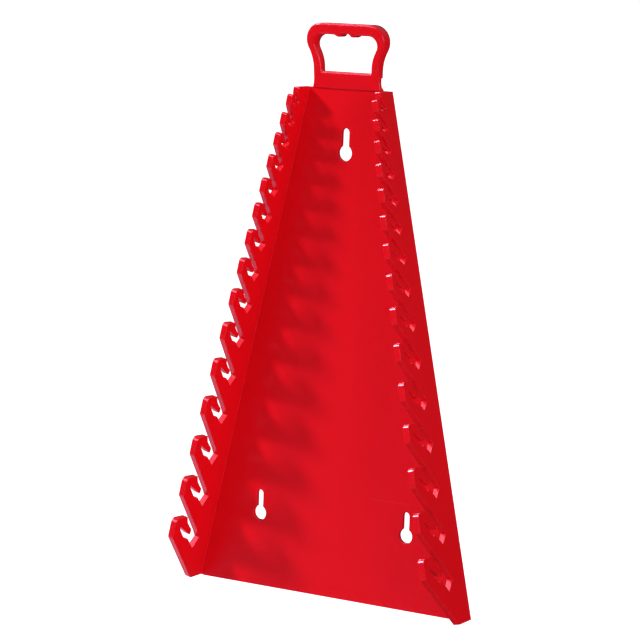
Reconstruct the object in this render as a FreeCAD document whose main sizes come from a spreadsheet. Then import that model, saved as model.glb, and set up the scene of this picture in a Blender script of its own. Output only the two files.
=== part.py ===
import FreeCAD, Part

import math
import os

from FreeCAD import Placement, Rotation, Vector

# Wrench rack: one injection-moulded tray that hangs flat on a wall or is carried by its loop.
# A tapered back plate carries a side wall along each sloping edge. The front of each wall is a comb
# of hooks, small at the top and large at the bottom, so that a wrench laid across both walls drops
# into the pair of slots of its size and is held there by a springy tongue. A carrying loop stands on
# the top of the plate, and three keyholes let it hang on screws.
#
# Frame, in millimetres: X runs to the right, Y to the back and Z up. The back of the plate lies in
# Y = 0 and its bottom edge in Z = 0, and the rack is the same on both sides of X = 0.
# A wall is drawn flat: "depth" is measured forward from the back, and "height" up along the slope.

doc = FreeCAD.newDocument("wrench_rack")
sheet = doc.addObject("Spreadsheet::Sheet", "sizes")

# The sizes.

SIZES = [
    ("rack_width", 235.0, "across the outer faces of the walls, at the foot"),
    ("plate_height", 377.05, "plate and walls, foot to top"),
    ("plate_thick", 3.4, "back plate"),
    ("wall_thick", 4.5, "side walls"),
    ("wall_lean", 12.23, "lean of each wall from upright, degrees"),
    ("foot_rise", 0.5, "the walls' bottom edge above the plate's, along the slope"),
    ("foot_depth", 18.8, "depth of the walls' bottom edge"),
    ("foot_round", 2.5, "its front corner"),
    ("cap_depth", 18.2, "depth of the short arm at the top of each wall"),
    ("cap_face", 3.6, "height of its front face"),
    ("cap_round", 2.0, "its upper front corner"),
    ("cap_chin_round", 1.0, "its lower front corner"),
    ("hook_count", 15, "hooks on each wall"),
    ("first_drop", 5.76, "top of the wall down to the nose of the first hook"),
    ("last_rise", 55.35, "nose of the last hook above the foot, along the slope"),
    ("first_pitch", 13.62, "spacing of the first two hooks"),
    ("pitch_bow", 0.243, "half-wave in the growth of the spacing"),
    ("pitch_wave", 0.98, "full wave in the growth of the spacing"),
    ("pitch_ripple", 0.592, "wave and a half in the growth of the spacing"),
    ("first_front", 24.9, "depth of the first hook"),
    ("last_front", 57.0, "depth of the last hook"),
    ("front_bulge", 0.7, "how far the line of fronts bows forward"),
    ("front_wave", 0.7, "how far it then waves, forward above and back below"),
    ("loop_half_leg", 27.3, "half width across the loop's straight legs"),
    ("loop_foot_flare", 1.3, "how much wider each side is where the loop meets the plate"),
    ("loop_foot_height", 8.0, "height of the flare at the foot of the loop"),
    ("leg_width", 6.55, "width of each leg"),
    ("flare_radius", 30.0, "curve by which the legs widen into the grip"),
    ("shoulder_radius", 12.5, "outer shoulder of the loop"),
    ("shoulder_inset", 7.37, "centres of the outer shoulders, inward from the legs' outer sides"),
    ("loop_rise", 46.85, "top of the loop above the plate"),
    ("opening_radius", 6.8, "upper corners of the finger opening"),
    ("opening_inset", 1.5, "centres of those corners, inward from the legs' inner sides"),
    ("opening_floor", 11.95, "floor of the finger opening above the plate"),
    ("opening_floor_round", 1.0, "its lower corners"),
    ("grip_thick", 8.2, "grip, top to underside"),
    ("bump_half", 5.55, "half distance between the two finger bumps under the grip"),
    ("bump_drop", 1.9, "how far the bumps hang below the underside"),
    ("bump_round", 2.0, "their tips"),
    ("bump_run", 3.9, "outer flank of a bump"),
    ("groove_half", 2.6, "half width of the groove between the bumps"),
    ("groove_rise", 0.9, "how far the groove goes up into the underside"),
    ("groove_round", 0.8, "its corners"),
    ("loop_foot_thick", 4.5, "front of the loop from the back plane, at the plate"),
    ("loop_growth", 0.13, "how much deeper the loop gets for each millimetre up"),
    ("loop_front_round", 1.0, "front edges of the loop"),
    ("relief_depth", 1.85, "recess across the back of the loop's foot"),
    ("relief_foot", 0.6, "its lower edge above the plate"),
    ("relief_run", 2.2, "its sloping lower flank"),
    ("relief_top", 8.9, "its upper edge above the plate"),
    ("top_key_drop", 46.5, "centre of the upper keyhole below the top of the plate"),
    ("top_key_round", 5.9, "radius of its round hole"),
    ("top_key_slot", 3.26, "half width of its slot"),
    ("top_key_rise", 18.1, "top of the slot above the centre"),
    ("low_key_rise", 55.6, "centres of the lower keyholes above the foot"),
    ("low_key_half", 62.5, "half distance between them"),
    ("low_key_round", 5.56, "radius of their round holes"),
    ("low_key_slot", 2.8, "half width of their slots"),
    ("low_key_reach", 17.7, "top of the slots above the centres"),
]

# The corners of one hook, in the order in which the outline passes them, starting at the foot of the
# arm above. Each has its distance back from the nose and its drop below it, first for the smallest
# and then for the largest hook, and the name of the rounding it gets. A crisp corner gets none.
HOOK_CORNERS = [
    ("crotch", 7.9, 1.5, 33.9, 16.1, "bend"),
    ("seat_back", 11.9, 5.9, 38.3, 21.7, "crisp"),
    ("seat_floor", 9.1, 8.7, 31.5, 29.0, "crisp"),
    ("stop_peak", 6.5, 8.4, 21.9, 19.8, "crisp"),
    ("stop_dip", 5.7, 8.5, 19.5, 21.1, "crisp"),
    ("throat_mouth", 4.9, 8.0, 15.9, 18.1, "crisp"),
    ("throat_floor", 3.0, 5.7, 8.2, 9.7, "crisp"),
    ("throat_roof", 2.6, 4.3, 8.0, 7.8, "crisp"),
    ("tip_low", 8.5, 7.6, 23.9, 17.3, "tip"),
    ("tip_high", 9.0, 5.8, 24.5, 12.7, "tip"),
    ("tongue_back", 6.1, 4.0, 20.7, 9.5, "bend"),
    ("neck", 4.1, 1.9, 17.1, 5.9, "bend"),
    ("nose_back", 3.8, 0.4, 14.9, 0.9, "crisp"),
    ("nose", 0.0, 0.0, 0.0, 0.0, "nose"),
    ("chin", 0.2, 8.1, 0.1, 15.3, "chin"),
]

# The roundings: radius on the smallest and on the largest hook.
HOOK_ROUNDS = [
    ("bend", 1.0, 3.0),
    ("tip", 0.7, 1.8),
    ("nose", 1.3, 4.0),
    ("chin", 1.2, 3.5),
]


def add_size(row, name, value, meaning):
    """One named size in the sheet: its name, its number and what it measures."""
    sheet.set("A%d" % row, name)
    sheet.set("B%d" % row, str(value))
    sheet.set("C%d" % row, meaning)
    sheet.setAlias("B%d" % row, name)


rows = list(SIZES)
for name, back_small, drop_small, back_large, drop_large, rounding in HOOK_CORNERS:
    if name != "nose":
        rows.append((name + "_back_small", back_small, "smallest hook: back from the nose"))
        rows.append((name + "_drop_small", drop_small, "smallest hook: below the nose"))
        rows.append((name + "_back_large", back_large, "largest hook: back from the nose"))
        rows.append((name + "_drop_large", drop_large, "largest hook: below the nose"))
for name, small, large in HOOK_ROUNDS:
    rows.append((name + "_round_small", small, "smallest hook: corner radius"))
    rows.append((name + "_round_large", large, "largest hook: corner radius"))
for number, (name, value, meaning) in enumerate(rows, start=1):
    add_size(number, name, value, meaning)
doc.recompute()


def size(name):
    """The number that the sheet holds under a name."""
    return float(sheet.get(name))


# Sketching helpers.


def rounded_path(corners, closed):
    """Lines and arcs through corners given as (x, y, radius).

    Each corner is cut back along both of its sides by radius / tan(half the angle between them),
    never by more than 0.45 of a side, and the two ends are joined by the arc that touches both sides.
    """
    count = len(corners)
    points = [Vector(x, y, 0) for x, y, radius in corners]
    ends = []
    for i in range(count):
        corner = points[i]
        inside = closed or 0 < i < count - 1
        radius = corners[i][2]
        if not inside or radius <= 0:
            ends.append((corner, None, corner))
            continue
        before = points[i - 1] - corner
        after = points[(i + 1) % count] - corner
        half = before.getAngle(after) / 2
        reach = min(radius / math.tan(half), 0.45 * before.Length, 0.45 * after.Length)
        before.normalize()
        after.normalize()
        middle = (before + after).normalize()
        bend = reach * math.tan(half)
        centre = corner + middle * (bend / math.sin(half))
        ends.append((corner + before * reach, centre - middle * bend, corner + after * reach))
    path = []
    for i in range(count):
        start, top, finish = ends[i]
        if top is not None:
            path.append(Part.Arc(start, top, finish))
        if closed or i < count - 1:
            path.append(Part.LineSegment(finish, ends[(i + 1) % count][0]))
    return path


def mirrored_path(path):
    """The same lines and arcs on the other side of the middle line."""
    flip = FreeCAD.Matrix()
    flip.A11 = -1
    other = []
    for piece in path:
        copy = piece.copy()
        copy.transform(flip)
        other.append(copy)
    return other


def origin_plane(body, role):
    """One of the three base planes of a body, found by its role."""
    for feature in body.Origin.OriginFeatures:
        if feature.Role == role:
            return feature
    raise ValueError("no plane " + role)


def add_sketch(body, name, role, path, offset=None):
    """A sketch on a base plane of the body, moved by an offset, that holds the given path."""
    sketch = body.newObject("Sketcher::SketchObject", name)
    sketch.AttachmentSupport = [(origin_plane(body, role), "")]
    sketch.MapMode = "FlatFace"
    if offset is not None:
        sketch.AttachmentOffset = offset
    sketch.addGeometry(path, False)
    doc.recompute()
    return sketch


def cut_through(body, name, sketch, least):
    """A pocket cut right through, both ways from its sketch, that must take away some material."""
    before = body.Shape.Volume
    pocket = body.newObject("PartDesign::Pocket", name)
    pocket.Profile = sketch
    pocket.Type = 1
    pocket.Midplane = True
    doc.recompute()
    taken = before - body.Shape.Volume
    print(name, "took", round(taken, 1), "mm3")
    if taken < least:
        raise ValueError(name + " cuts nothing")
    return pocket


# The plate and the two walls.

LEAN = math.radians(size("wall_lean"))
FOOT_HALF = size("rack_width") / 2 - size("wall_thick") * math.cos(LEAN)
TOP_HEIGHT = size("plate_height") / math.cos(LEAN)


def wall_point(height, outward):
    """X and Z of a point of the right wall's cross-section: up the slope, and out through the wall."""
    x = FOOT_HALF - height * math.sin(LEAN) + outward * math.cos(LEAN)
    z = height * math.cos(LEAN) + outward * math.sin(LEAN)
    return x, z


def plate_path():
    """The tapered plate. Its sides end inside the walls, and its bottom corners follow their feet."""
    middle = size("wall_thick") / 2
    foot = wall_point(size("foot_rise"), middle)
    top_slope = (size("plate_height") - middle * math.sin(LEAN)) / math.cos(LEAN)
    top = wall_point(top_slope, middle)
    corner = wall_point(size("foot_rise"), 0)
    low = corner[0] - corner[1] / math.tan(LEAN)
    right = [(low, 0, 0), (foot[0], foot[1], 0), (top[0], top[1], 0)]
    left = [(-x, z, radius) for x, z, radius in reversed(right)]
    return rounded_path(right + left, True)


def hook_noses():
    """Depth and height of the nose of each hook.

    The spacing grows along the wall from the first pitch to the last, with three gentle waves laid
    over it. The last pitch is the one that brings the last hook to its own height. The depth grows
    evenly from hook to hook, and the line of fronts bows and waves a little.
    """
    count = int(size("hook_count"))
    first = TOP_HEIGHT - size("first_drop")
    steps = [i / (count - 2) for i in range(count - 1)]
    waves = [
        size("pitch_bow") * math.sin(math.pi * u)
        - size("pitch_wave") * math.sin(2 * math.pi * u)
        + size("pitch_ripple") * math.sin(3 * math.pi * u)
        for u in steps
    ]
    ramp = first - size("last_rise") - sum(waves) - size("first_pitch") * (count - 1)
    growth = ramp / sum(steps)
    noses = []
    height = first
    for i in range(count):
        grade = i / (count - 1)
        depth = size("first_front") + (size("last_front") - size("first_front")) * grade
        depth += size("front_bulge") * math.sin(math.pi * grade)
        depth += size("front_wave") * math.sin(2 * math.pi * grade)
        noses.append((depth, height))
        if i < count - 1:
            height -= size("first_pitch") + growth * steps[i] + waves[i]
    return noses


def graded(name, grade):
    """A hook size between its value on the smallest hook (grade 0) and on the largest (grade 1)."""
    return size(name + "_small") + (size(name + "_large") - size(name + "_small")) * grade


def hook_corners(depth, height, grade):
    """The corners of one hook as (depth, height, radius), from the foot of the arm above downward."""
    corners = []
    for name, back_small, drop_small, back_large, drop_large, rounding in HOOK_CORNERS:
        back = 0.0 if name == "nose" else graded(name + "_back", grade)
        drop = 0.0 if name == "nose" else graded(name + "_drop", grade)
        radius = 0.0 if rounding == "crisp" else graded(rounding + "_round", grade)
        corners.append((depth - back, height - drop, radius))
    return corners


def comb_path():
    """The flat outline of a wall: up the back, over the top, and down the hooks to the foot."""
    noses = hook_noses()
    cap_low = TOP_HEIGHT - size("cap_face")
    corners = [
        (0, size("foot_rise"), 0),
        (0, TOP_HEIGHT, 0),
        (size("cap_depth"), TOP_HEIGHT, size("cap_round")),
        (size("cap_depth"), cap_low, size("cap_chin_round")),
    ]
    for i, (depth, height) in enumerate(noses):
        corners += hook_corners(depth, height, i / (len(noses) - 1))
    corners.append((size("foot_depth"), size("foot_rise"), size("foot_round")))
    return rounded_path([(-depth, height, radius) for depth, height, radius in corners], True)


def top_trim_path():
    """Two rectangles above the plate that level the tops of the leaning walls, clear of the loop."""
    near = wall_point(TOP_HEIGHT, 0)[0] - size("wall_thick") / 4
    far = size("rack_width") / 2
    low = size("plate_height")
    high = low + 2 * size("wall_thick")
    right = rounded_path([(near, low, 0), (far, low, 0), (far, high, 0), (near, high, 0)], True)
    return right + mirrored_path(right)


# The carrying loop.

LOOP_HALF_FOOT = size("loop_half_leg") + size("loop_foot_flare")


def leg_start(leg_half, centre_x, centre_z, radius):
    """Height at which a leg starts to widen, so that its curve just touches the shoulder's circle."""
    reach = size("flare_radius") + radius
    across = leg_half + size("flare_radius") - centre_x
    return centre_z - math.sqrt(reach ** 2 - across ** 2)


def leg_and_shoulder(leg_half, centre_x, centre_z, radius):
    """The two arcs of one side: the leg curving outward, then the shoulder turning in to the grip."""
    flare = size("flare_radius")
    start_z = leg_start(leg_half, centre_x, centre_z, radius)
    turn = math.atan2(centre_z - start_z, leg_half + flare - centre_x)
    flare_x = leg_half + flare
    start = Vector(leg_half, start_z, 0)
    mid_flare = Vector(flare_x - flare * math.cos(turn / 2), start_z + flare * math.sin(turn / 2), 0)
    touch = Vector(flare_x - flare * math.cos(turn), start_z + flare * math.sin(turn), 0)
    lift = (math.pi / 2 - turn) / 2
    shoulder = Vector(centre_x + radius * math.cos(lift), centre_z + radius * math.sin(lift), 0)
    top = Vector(centre_x, centre_z + radius, 0)
    return [Part.Arc(start, mid_flare, touch), Part.Arc(touch, shoulder, top)]


def loop_outer_path():
    """The loop from outside: flared foot, straight legs, widening shoulders and a level top."""
    foot_z = size("plate_height")
    top_z = foot_z + size("loop_rise")
    radius = size("shoulder_radius")
    leg = size("loop_half_leg")
    centre_x = leg - size("shoulder_inset")
    leg_z = leg_start(leg, centre_x, top_z - radius, radius)
    foot = Vector(LOOP_HALF_FOOT, foot_z, 0)
    ankle = Vector(leg, foot_z + size("loop_foot_height"), 0)
    knee = Vector(leg, leg_z, 0)
    sag = size("loop_foot_flare") / 4
    middle = Vector((foot.x + ankle.x) / 2 - sag, (foot.y + ankle.y) / 2 - sag, 0)
    right = [Part.Arc(foot, middle, ankle), Part.LineSegment(ankle, knee)]
    right += leg_and_shoulder(leg, centre_x, top_z - radius, radius)
    top = Part.LineSegment(Vector(centre_x, top_z, 0), Vector(-centre_x, top_z, 0))
    foot_line = Part.LineSegment(Vector(-foot.x, foot_z, 0), foot)
    return right + [top] + mirrored_path(right) + [foot_line]


def loop_opening_path():
    """The finger opening, with two bumps and a groove under the grip."""
    floor = size("plate_height") + size("opening_floor")
    roof = size("plate_height") + size("loop_rise") - size("grip_thick")
    radius = size("opening_radius")
    inner = size("loop_half_leg") - size("leg_width")
    centre_x = inner - size("opening_inset")
    leg_z = leg_start(inner, centre_x, roof - radius, radius)
    bump = size("bump_half")
    groove = size("groove_half")
    under_grip = [
        (centre_x, roof, 0),
        (bump + size("bump_run"), roof, size("bump_round")),
        (bump, roof - size("bump_drop"), size("bump_round")),
        (groove, roof + size("groove_rise"), size("groove_round")),
    ]
    under_grip += [(-x, z, round_) for x, z, round_ in reversed(under_grip)]
    floor_round = size("opening_floor_round")
    legs_and_floor = [
        (-inner, leg_z, 0),
        (-inner, floor, floor_round),
        (inner, floor, floor_round),
        (inner, leg_z, 0),
    ]
    right = leg_and_shoulder(inner, centre_x, roof - radius, radius)
    both = right + mirrored_path(right)
    return rounded_path(legs_and_floor, False) + rounded_path(under_grip, False) + both


def loop_front(z):
    """Y of the loop's sloping front face at a height."""
    return -(size("loop_foot_thick") + size("loop_growth") * (z - size("plate_height")))


def front_trim_path():
    """Side view of what lies in front of the loop's sloping front face."""
    low = size("plate_height")
    high = low + size("loop_rise") + size("grip_thick")
    far = 2 * loop_front(high)
    corners = [(loop_front(low), low, 0), (loop_front(high), high, 0), (far, high, 0), (far, low, 0)]
    return rounded_path(corners, True)


def relief_path():
    """Side view of the shallow recess across the back of the loop's foot."""
    low = size("plate_height") + size("relief_foot")
    high = size("plate_height") + size("relief_top")
    depth = size("relief_depth")
    run = size("relief_run")
    corners = [(depth, low, 0), (0, low, 0), (-depth, low + run, 0), (-depth, high, 0), (depth, high, 0)]
    return rounded_path(corners, True)


def edges_where(shape, test):
    """Names of the edges all of whose ends and middle pass a test."""
    names = []
    for number, edge in enumerate(shape.Edges, start=1):
        span = edge.LastParameter - edge.FirstParameter
        points = [edge.valueAt(edge.FirstParameter + span * part) for part in (0, 0.5, 1)]
        if all(test(point) for point in points):
            names.append("Edge%d" % number)
    return names


def on_loop_front(point):
    """True on the outlines of the loop's front face, except the line where it leaves the plate."""
    above = point.z > size("plate_height") + 0.01 or abs(point.x) > LOOP_HALF_FOOT - 0.01
    return above and abs(point.y - loop_front(point.z)) < 0.01 and point.z > size("plate_height") - 0.01


# The keyholes.


def keyhole_path(x, z, round_radius, slot_half, rise):
    """A round hole with a narrower slot going up from it and ending in a half circle."""
    shoulder = math.sqrt(round_radius ** 2 - slot_half ** 2)
    right = Vector(x + slot_half, z + shoulder, 0)
    left = Vector(x - slot_half, z + shoulder, 0)
    right_top = Vector(x + slot_half, z + rise - slot_half, 0)
    left_top = Vector(x - slot_half, z + rise - slot_half, 0)
    return [
        Part.Arc(left, Vector(x, z - round_radius, 0), right),
        Part.LineSegment(right, right_top),
        Part.Arc(right_top, Vector(x, z + rise, 0), left_top),
        Part.LineSegment(left_top, left),
    ]


def all_keyholes():
    """One keyhole high on the middle line and a pair low down."""
    top_z = size("plate_height") - size("top_key_drop")
    path = keyhole_path(0, top_z, size("top_key_round"), size("top_key_slot"), size("top_key_rise"))
    for x in (-size("low_key_half"), size("low_key_half")):
        radius = size("low_key_round")
        path += keyhole_path(x, size("low_key_rise"), radius, size("low_key_slot"), size("low_key_reach"))
    return path


# The moulding, feature by feature.

rack = doc.addObject("PartDesign::Body", "rack")
rack.Label = "rack"
rack.Placement = Placement(Vector(0, 0, 0), Rotation(0, 0, 0))

plate = rack.newObject("PartDesign::Pad", "plate")
plate.Profile = add_sketch(rack, "plate_outline", "XZ_Plane", plate_path())
plate.setExpression("Length", "sizes.plate_thick")
doc.recompute()
print("plate", rack.Shape.BoundBox)

loop = rack.newObject("PartDesign::Pad", "loop")
loop.Profile = add_sketch(rack, "loop_outline", "XZ_Plane", loop_outer_path() + loop_opening_path())
loop.setExpression(
    "Length", "sizes.loop_foot_thick + sizes.loop_growth * (sizes.loop_rise + sizes.grip_thick)"
)
doc.recompute()
print("loop", rack.Shape.BoundBox)

front_sketch = add_sketch(rack, "loop_front_outline", "YZ_Plane", front_trim_path())
cut_through(rack, "loop_front", front_sketch, size("loop_rise") * size("leg_width"))
relief_sketch = add_sketch(rack, "relief_outline", "YZ_Plane", relief_path())
relief = cut_through(rack, "relief", relief_sketch, size("relief_top") * size("leg_width"))

front_round = rack.newObject("PartDesign::Fillet", "loop_front_round")
front_round.Base = (relief, edges_where(relief.Shape, on_loop_front))
front_round.setExpression("Radius", "sizes.loop_front_round")
doc.recompute()
print("finished loop", rack.Shape.BoundBox)

# The right wall is drawn on a plane that leans with it and starts at its inner face.
lean_plane = Placement(Vector(0, 0, FOOT_HALF), Rotation(Vector(1, 0, 0), -size("wall_lean")))
wall = rack.newObject("PartDesign::Pad", "right_wall")
wall.Profile = add_sketch(rack, "wall_outline", "YZ_Plane", comb_path(), lean_plane)
wall.setExpression("Length", "sizes.wall_thick")
doc.recompute()
print("right wall", rack.Shape.BoundBox)

both_walls = rack.newObject("PartDesign::Mirrored", "left_wall")
both_walls.Originals = [wall]
both_walls.MirrorPlane = (origin_plane(rack, "YZ_Plane"), [""])
rack.Tip = both_walls
doc.recompute()
print("both walls", rack.Shape.BoundBox)

trim_sketch = add_sketch(rack, "top_trim_outline", "XZ_Plane", top_trim_path())
cut_through(rack, "top_trim", trim_sketch, size("wall_thick"))
key_sketch = add_sketch(rack, "keyhole_outlines", "XZ_Plane", all_keyholes())
cut_through(rack, "keyholes", key_sketch, size("plate_thick") * size("top_key_round") ** 2)

# Checks and files.

for item in doc.Objects:
    if "Invalid" in item.State or "Error" in item.State:
        raise ValueError(item.Name + " failed: " + str(item.State))

os.makedirs("parts", exist_ok=True)
for part in [rack]:
    shape = part.Shape
    if shape.isNull() or not shape.isValid() or len(shape.Solids) != 1:
        raise ValueError(part.Label + " is not one sound solid")
    box = shape.BoundBox
    print(part.Label, round(shape.Volume, 1), "mm3,", len(shape.Faces), "faces,", box)
    shape.exportStep("parts/%s.step" % part.Label)
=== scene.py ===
# %% [markdown]
# # A wrench rack, dressed and lit
#
# The rack is one injection-moulded tray of glossy red plastic. Its shape comes ready made from the
# solid model: a tapered back plate, a comb of hooks along each side, a carrying loop and three
# keyholes. What is left for this lesson is its finish, the light and the camera.
#
# The first cell loads the model. Everything is in metres: X runs to the right, Y to the back and Z up.
# The back of the plate lies in Y = 0 and its bottom edge in Z = 0.

# %% Load the solid model
import math

import bpy
import numpy as np
from mathutils import Matrix, Vector

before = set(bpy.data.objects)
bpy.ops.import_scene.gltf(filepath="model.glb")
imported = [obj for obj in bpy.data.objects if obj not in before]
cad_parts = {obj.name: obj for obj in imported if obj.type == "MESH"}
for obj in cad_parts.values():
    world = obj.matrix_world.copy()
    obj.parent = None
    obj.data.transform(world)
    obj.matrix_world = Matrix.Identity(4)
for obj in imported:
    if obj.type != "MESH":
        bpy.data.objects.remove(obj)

bpy.context.view_layer.update()
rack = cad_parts["rack"]
print("rack:", len(rack.data.polygons), "triangles")

# %% [markdown]
# ## The camera
#
# A photograph has a place it was taken from, and a render only lines up with it from the same place.
# The straight edges of the plate, the comb's hooks and the keyholes were enough to work it out: the
# camera stands to the right of the rack, a little above its middle, nearly two metres away, and is
# turned by two degrees. A long lens keeps the perspective gentle.
#
# The camera's axes are built by hand from three angles. `ahead` points into the picture, `across` to
# its right and `above` to its top. Blender's camera looks along its own -Z, so -ahead is its third axis.

# %% Place the camera
TURN = math.radians(30.34)
RISE = math.radians(8.09)
TILT = math.radians(2.022)
DISTANCE = 1.8887
AIM = Vector((-0.0061, -0.020, 0.2094))
PIXELS = 640
FOCAL_PIXELS = 2596.9

ahead = Vector((-math.sin(TURN) * math.cos(RISE), math.cos(TURN) * math.cos(RISE), -math.sin(RISE)))
level = Vector((math.cos(TURN), math.sin(TURN), 0.0))
upright = level.cross(ahead)
across = level * math.cos(TILT) + upright * math.sin(TILT)
above = upright * math.cos(TILT) - level * math.sin(TILT)

lens = bpy.data.cameras.new("camera")
lens.sensor_width = 36.0
lens.lens = FOCAL_PIXELS / PIXELS * lens.sensor_width
lens.clip_end = 50.0
camera = bpy.data.objects.new("camera", lens)
camera.matrix_world = Matrix.LocRotScale(
    AIM - ahead * DISTANCE, Matrix((across, above, -ahead)).transposed(), None
)
bpy.context.scene.collection.objects.link(camera)
bpy.context.scene.camera = camera
print("camera at", tuple(round(v, 3) for v in camera.location), "lens", round(lens.lens, 1), "mm")

# %% [markdown]
# ## Writing shader maths as Python
#
# A material is a graph of small nodes, and a long graph wired by hand is hard to read. The class below
# wraps a node's output so that it can be used in a Python expression: `a * 2 + b` adds the Math nodes
# that work it out. Each operator also has its reflected form, so that `1 - mask` works too.
#
# `Finish` holds one node tree. Its `node` method takes a node's type, the settings that are fixed
# first, and the values or links of its sockets.

# %% Socket arithmetic and a node maker


class Signal:
    """A number that varies over a surface: the output socket of a node, with Python's operators."""

    def __init__(self, finish, socket):
        self.finish = finish
        self.socket = socket

    def maths(self, operation, *others, clamp=False):
        """One Math node fed by this signal and the others."""
        settings = {"operation": operation, "use_clamp": clamp}
        return self.finish.node("ShaderNodeMath", settings, {0: self, **dict(enumerate(others, 1))})

    def __add__(self, other):
        return self.maths("ADD", other)

    def __radd__(self, other):
        return self.maths("ADD", other)

    def __mul__(self, other):
        return self.maths("MULTIPLY", other)

    def __rmul__(self, other):
        return self.maths("MULTIPLY", other)

    def __sub__(self, other):
        return self.maths("SUBTRACT", other)

    def __rsub__(self, other):
        return (self * -1.0).maths("ADD", other)

    def __pow__(self, other):
        return self.maths("POWER", other)

    def size(self):
        """Distance from zero, without the sign."""
        return self.maths("ABSOLUTE")

    def capped(self):
        """Held between 0 and 1."""
        return self.maths("ADD", 0.0, clamp=True)

    def rise(self, low, high):
        """A soft step from 0 at low to 1 at high. With low above high it falls instead."""
        span = {1: low, 2: high, 3: 0.0, 4: 1.0}
        if low > high:
            span = {1: high, 2: low, 3: 1.0, 4: 0.0}
        settings = {"interpolation_type": "SMOOTHSTEP"}
        return self.finish.node("ShaderNodeMapRange", settings, {0: self, **span})


class Finish:
    """The node tree of one material or of the world."""

    def __init__(self, owner):
        owner.use_nodes = True
        self.tree = owner.node_tree
        self.tree.nodes.clear()

    def node(self, kind, settings=None, inputs=None, output=0):
        """Adds a node: its fixed settings first, then its sockets, and gives back one output."""
        made = self.tree.nodes.new(kind)
        for name, value in (settings or {}).items():
            setattr(made, name, value)
        for name, value in (inputs or {}).items():
            if isinstance(value, Signal):
                self.tree.links.new(value.socket, made.inputs[name])
            else:
                made.inputs[name].default_value = value
        return Signal(self, made.outputs[output]) if len(made.outputs) else made

    def place(self, part):
        """One coordinate of the point on the object, in metres: 'X', 'Y' or 'Z'."""
        point = self.node("ShaderNodeTexCoord", output="Object")
        return self.node("ShaderNodeSeparateXYZ", inputs={0: point}, output=part)

    def cloud(self, spacing, detail, stretch=(1.0, 1.0, 1.0)):
        """Soft noise around 0.5 whose blobs are about one spacing apart, in metres."""
        point = self.node("ShaderNodeTexCoord", output="Object")
        scaled = self.node("ShaderNodeMapping", inputs={0: point, "Scale": stretch})
        sockets = {"Vector": scaled, "Scale": 1.0 / spacing, "Detail": detail}
        return self.node("ShaderNodeTexNoise", inputs=sockets)

    def tint(self, amount, first, second):
        """A colour that goes from first to second as amount goes from 0 to 1."""
        settings = {"data_type": "RGBA", "clamp_factor": True}
        return self.node("ShaderNodeMix", settings, {0: amount, 6: first, 7: second}, output=2)

    def dot(self, first, second):
        """How far two directions agree: 1 if they are the same, 0 at right angles."""
        settings = {"operation": "DOT_PRODUCT"}
        return self.node("ShaderNodeVectorMath", settings, {0: first, 1: second}, output="Value")


print("helpers ready:", Signal.__name__, "and", Finish.__name__)

# %% [markdown]
# ## The surroundings
#
# The rack was photographed alone on white, as it would hang on a wall, with nothing under it. The floor
# here is a plain pale plane well below it. It still matters: glossy plastic mirrors it, and a pink glow
# near the rack that only mirrored rays see, a painted pink reflection, turns the underside of every hook
# pink.
#
# The plane is a grid worked out in numpy: u and v run from -1 to 1, and each point is (u, v) times half
# the floor's side. To the camera the floor and the sky look white, and the part near the rack keeps its
# shadow. Light Path tells which kind of ray is asking. What the plastic mirrors is a pale table below
# and to the left, which glows pink to mirrored rays only: a painted pink reflection, not colour bounced
# off the rack. Elsewhere it mirrors a dark room that grows a little brighter overhead. Two soft boxes
# hang in that
# room, high on the left: they give the pink glints on the noses and in the slots, and only mirrored rays
# see them. The plastic's broad light comes evenly from all round.

# %% Floor and sky
WHITE = (1.0, 1.0, 1.0, 1.0)

# The floor, and the part of it that mirrored rays see as a table.
FLOOR_HEIGHT = -0.45
FLOOR_HALF = 30.0
TABLE_RIM = (0.95, 1.35)
TABLE_RIGHT_EDGE = (-0.42, -0.28)
PALE_TABLE = (0.72, 0.61, 0.74, 1.0)
DARK_FLOOR = (0.02, 0.02, 0.02, 1.0)
# A pink glow near the rack that only mirrored rays see: a painted pink reflection on the hooks'
# undersides.
PAINTED_PINK_REFLECTION = (1.0, 0.12, 0.22, 1.0)
PAINTED_PINK_REFLECTION_STRENGTH = 0.80
WHITE_NEAR = 0.75
WHITE_GAIN_FAR = 0.40

# The sky. Each soft box has a direction, the two ends of its soft rim and a strength.
NOSE_BOX = ((-0.35, -0.64, 0.69), (0.925, 0.985), 9.0)
SEAT_BOX = ((-0.68, -0.20, 0.70), (0.90, 0.97), 3.6)
ROOM_GLOW = 0.02
CEILING_GLOW = 0.35
BROAD_LIGHT = 0.25


def flat_sheet(name, half, height, steps=3):
    """A square grid: x = half * u, y = half * v, z = height, for u and v from -1 to 1."""
    u, v = np.meshgrid(np.linspace(-1, 1, steps), np.linspace(-1, 1, steps), indexing="ij")
    points = np.stack([half * u, half * v, np.full_like(u, height)], axis=-1).reshape(-1, 3)
    index = np.arange(steps * steps).reshape(steps, steps)
    corners = (index[:-1, :-1], index[1:, :-1], index[1:, 1:], index[:-1, 1:])
    quads = np.stack(corners, axis=-1).reshape(-1, 4)
    mesh = bpy.data.meshes.new(name)
    mesh.from_pydata(points.tolist(), [], quads.tolist())
    sheet = bpy.data.objects.new(name, mesh)
    bpy.context.scene.collection.objects.link(sheet)
    return sheet


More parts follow.
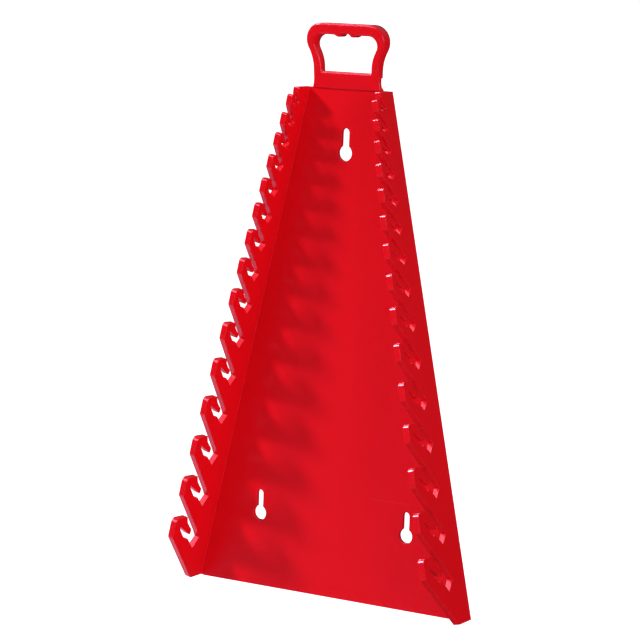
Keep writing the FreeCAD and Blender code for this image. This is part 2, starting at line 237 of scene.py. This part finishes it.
floor = flat_sheet("floor", FLOOR_HALF, FLOOR_HEIGHT)
floor_paint = bpy.data.materials.new("pale floor")
floor.data.materials.append(floor_paint)
paint = Finish(floor_paint)
out_x, out_y = paint.place("X"), paint.place("Y")
away = ((out_x * out_x + out_y * out_y) ** 0.5).rise(*TABLE_RIM)
away = away.maths("MAXIMUM", out_x.rise(*TABLE_RIGHT_EDGE))
seen = paint.node("ShaderNodeLightPath", output="Is Camera Ray")
mirrored = paint.node("ShaderNodeLightPath", output="Is Glossy Ray")
shade = paint.tint(away * mirrored, PALE_TABLE, DARK_FLOOR)
chalk = paint.node("ShaderNodeBsdfDiffuse", inputs={"Color": shade})
# The camera sees the floor white. Mirrored rays see the table near the rack glow pink: a painted pink
# reflection.
glowing = seen * (WHITE_NEAR + away * WHITE_GAIN_FAR) + mirrored * (1 - away) * PAINTED_PINK_REFLECTION_STRENGTH
glow_colour = paint.tint(mirrored, WHITE, PAINTED_PINK_REFLECTION)
glow = paint.node("ShaderNodeEmission", inputs={"Color": glow_colour, "Strength": glowing})
both = paint.node("ShaderNodeAddShader", inputs={0: chalk, 1: glow})
paint.node("ShaderNodeOutputMaterial", inputs={0: both})

sky = bpy.data.worlds.new("soft room")
bpy.context.scene.world = sky
room = Finish(sky)
gaze = room.node("ShaderNodeTexCoord", output="Generated")
lift = room.node("ShaderNodeSeparateXYZ", inputs={0: gaze}, output="Z")
looked_at = room.node("ShaderNodeLightPath", output="Is Camera Ray")
reflected = room.node("ShaderNodeLightPath", output="Is Glossy Ray")
mirror_light = ROOM_GLOW + lift.rise(0.05, 0.9) * CEILING_GLOW
for toward_box, rim, box_strength in (NOSE_BOX, SEAT_BOX):
    mirror_light = mirror_light + room.dot(gaze, toward_box).rise(*rim) * box_strength
other_light = reflected * mirror_light + (1 - reflected) * BROAD_LIGHT
strength = looked_at + (1 - looked_at) * other_light
backdrop = room.node("ShaderNodeBackground", inputs={"Color": WHITE, "Strength": strength})
room.node("ShaderNodeOutputWorld", inputs={0: backdrop})
print("floor at", FLOOR_HEIGHT, "m, sky named", sky.name)

# %% [markdown]
# ## The key light
#
# The clearest thing in the photograph is the scalloped shadow that the left comb throws on the plate.
# Its place gives the direction of the lamp, and the softness of its edge gives the lamp's size: a round
# soft light 0.70 m across, more than four metres away, high on the left and in front.

# %% The soft lamp that throws the scallops
LAMP_SIDE = math.radians(54.3)
LAMP_RISE = math.radians(36.96)
LAMP_DISTANCE = 4.35
LAMP_ACROSS = 0.70
LAMP_AIM = Vector((0.0, 0.0, 0.19))
LAMP_WATTS = 154.0


def soft_lamp(name, side, rise, distance, width, watts):
    """A round soft lamp that looks at the rack: side and rise are its angles from straight in front."""
    toward = Vector((-math.sin(side) * math.cos(rise), -math.cos(side) * math.cos(rise), math.sin(rise)))
    data = bpy.data.lights.new(name, "AREA")
    data.shape = "DISK"
    data.size = width
    data.energy = watts
    made = bpy.data.objects.new(name, data)
    made.location = LAMP_AIM + toward * distance
    made.rotation_mode = "QUATERNION"
    made.rotation_quaternion = (-toward).to_track_quat("-Z", "Y")
    bpy.context.scene.collection.objects.link(made)
    print(name, "at", tuple(round(v, 2) for v in made.location))
    return made


key_lamp = soft_lamp("key_lamp", LAMP_SIDE, LAMP_RISE, LAMP_DISTANCE, LAMP_ACROSS, LAMP_WATTS)

# %% [markdown]
# The faces that look to the right are bright too, and throw no shadow of their own: a second, very wide
# lamp fills them from the right and a little in front.

# %% The wide fill
FILL_SIDE = math.radians(-62)
FILL_RISE = math.radians(12)
FILL_DISTANCE = 3.4
FILL_ACROSS = 2.4
FILL_WATTS = 61.0

fill_lamp = soft_lamp("fill_lamp", FILL_SIDE, FILL_RISE, FILL_DISTANCE, FILL_ACROSS, FILL_WATTS)

# %% [markdown]
# ## Red moulded plastic
#
# The plastic is coloured right through, so there is no paint to chip. What makes it look real is small:
# a skin that is not quite flat because the steel mould was polished by hand, a colour that drifts a
# little where the melt flowed, and crisp edges that are never perfectly sharp.
#
# The edges come from the Bevel node, which bends the shading over the last third of a millimetre, and
# over three millimetres on the loop, which is rounder to the hand. The difference between the bent and
# the true direction also marks where the edges are, and there the plastic is rubbed a little paler and
# duller.

# %% Edges, skin and colour
MM = 0.001
EDGE_SOFTNESS = 0.35 * MM
LOOP_SOFTNESS = 3.0 * MM
LOOP_START = (379 * MM, 384 * MM)
LOOP_RUBS_LESS = 0.9

red_plastic = bpy.data.materials.new("moulded red")
skin = Finish(red_plastic)

true_facing = skin.node("ShaderNodeNewGeometry", output="Normal")
on_loop = skin.place("Z").rise(*LOOP_START)
softness = EDGE_SOFTNESS + on_loop * (LOOP_SOFTNESS - EDGE_SOFTNESS)
soft_facing = skin.node("ShaderNodeBevel", {"samples": 8}, {"Radius": softness})
edge = (1 - skin.dot(true_facing, soft_facing)).rise(0.01, 0.16) * (1 - on_loop * LOOP_RUBS_LESS)

flow = skin.cloud(70 * MM, detail=3.0, stretch=(1.0, 1.0, 0.45))
grain = skin.cloud(2.4 * MM, detail=3.0)
pores = skin.cloud(0.45 * MM, detail=1.0)
sink = skin.cloud(34 * MM, detail=1.0)
print("edge, flow, grain, pores and sink patterns made")

# %% [markdown]
# Wrenches slide in over the fronts of the hooks and rest in the slots, and the narrow faces there carry
# faint rub marks, whose paler, pinker colour is in part painted pink sheen. Those faces are found by
# their direction, because they look forward, up or down and never sideways, and by how far they stand in
# front of the plate. Fine streaks run from front to back.

# %% Rub marks and painted pink sheen in the slots, and the flow line
facing = skin.node("ShaderNodeTexCoord", output="Normal")
sideways = skin.node("ShaderNodeSeparateXYZ", inputs={0: facing}, output="X").size()
forward = skin.place("Y") * -1.0
narrow = sideways.rise(0.55, 0.35) * forward.rise(9 * MM, 14 * MM)
streaks = skin.cloud(1.1 * MM, detail=4.0, stretch=(1.0, 0.12, 0.4)).rise(0.48, 0.72)
# Rub marks, and in part painted pink sheen, on the faces that look forward, up or down.
rubs_and_sheen = narrow * streaks

FLOW_LINE_HEIGHT = 79.35 * MM
off_line = (skin.place("Z") - FLOW_LINE_HEIGHT + (sink - 0.5) * (1.2 * MM)).size()
along = skin.place("X")
on_face = forward.rise(3.0 * MM, 3.35 * MM) * forward.rise(3.6 * MM, 3.45 * MM)
ends = along.rise(30 * MM, 38 * MM) * along.rise(67 * MM, 60 * MM)
flow_line = off_line.rise(0.35 * MM, 0.08 * MM) * ends * on_face
print("flow line at", FLOW_LINE_HEIGHT, "m")

# %% [markdown]
# The back was pushed out of the mould by steel pins, and each leaves a faint round witness. They stand
# on a square grid, so one cell of the grid repeated over the back gives them all: the distance from the
# middle of the cell is the root of the two squares, and a thin ring lies where it is the pin's radius.

# %% Ejector marks on the back
PIN_SPACING = 52 * MM
PIN_RADIUS = 3.2 * MM


def from_middle(finish, part, spacing, shift):
    """Distance along one axis from the middle of the grid cell that the point lies in."""
    return (finish.place(part) + shift).maths("PINGPONG", spacing / 2)


pin_x = from_middle(skin, "X", PIN_SPACING, 10.0 * PIN_SPACING)
pin_z = from_middle(skin, "Z", PIN_SPACING, 9.5 * PIN_SPACING)
pin_distance = (pin_x * pin_x + pin_z * pin_z) ** 0.5
behind = forward.rise(0.4 * MM, 0.1 * MM)
pin_ring = (pin_distance - PIN_RADIUS).size().rise(0.25 * MM, 0.05 * MM) * behind
print("pins every", round(PIN_SPACING * 1000), "mm, radius", round(PIN_RADIUS * 1000, 1), "mm")

# %% [markdown]
# Now the pieces go together. The colour is a strong red that drifts towards a deeper one with the flow,
# and towards a paler, pinker one on rubbed edges and on the rub marks, which also carry painted pink
# sheen. What it mirrors is tinted a little pink as well. The roughness follows the grain, and the wide
# face of the plate is a touch more satin than the combs. The height is a sum of the slow sinking of the
# wide faces, the hand-polished skin and the finest pores, from a thousandth of a millimetre to a few
# hundredths, less the two small marks.

# %% Put the plastic together
RED = (0.78, 0.0034, 0.0085, 1.0)
DEEP_RED = (0.74, 0.0030, 0.0075, 1.0)
# Paler pink for worn edges and the flow line, and for the rub marks, which also carry painted pink
# sheen.
PALE_RED_OF_WEAR_SHEEN_AND_FLOW = (0.86, 0.050, 0.085, 1.0)
GLINT = (1.0, 0.60, 0.95, 1.0)
POLISHED = 0.15
PLATE_SATIN = 0.05
PLATE_FACE = (5.0 * MM, 3.8 * MM)

body_colour = skin.tint(flow.rise(0.35, 0.70), RED, DEEP_RED)
# Paler on worn edges and the flow line, and on the rub marks, which are in part painted pink sheen.
pale = (edge * (0.25 + 0.5 * grain) + rubs_and_sheen * 0.10 + flow_line * 0.35).capped()
colour = skin.tint(pale, body_colour, PALE_RED_OF_WEAR_SHEEN_AND_FLOW)
satin = forward.rise(*PLATE_FACE) * PLATE_SATIN
roughness = (POLISHED + satin + grain * 0.06 + rubs_and_sheen * 0.10 + edge * 0.06).capped()
height = sink * 0.030 + grain * 0.0030 + pores * 0.0012 - flow_line * 0.010 - pin_ring * 0.020
bumped = skin.node(
    "ShaderNodeBump",
    inputs={"Strength": 1.0, "Distance": 1.0 * MM, "Height": height, "Normal": soft_facing},
)
plastic = skin.node(
    "ShaderNodeBsdfPrincipled",
    inputs={
        "Base Color": colour,
        "Roughness": roughness,
        "IOR": 1.5,
        "Specular IOR Level": 0.5,
        "Specular Tint": GLINT,
        "Normal": bumped,
    },
)
skin.node("ShaderNodeOutputMaterial", inputs={0: plastic})
rack.material_slots[0].material = red_plastic
print("rack wears", rack.material_slots[0].material.name)

# %% [markdown]
#
# Standard shows colours as they are written.

# %% Finish
bpy.context.scene.view_settings.view_transform = "Standard"
bpy.context.view_layer.update()
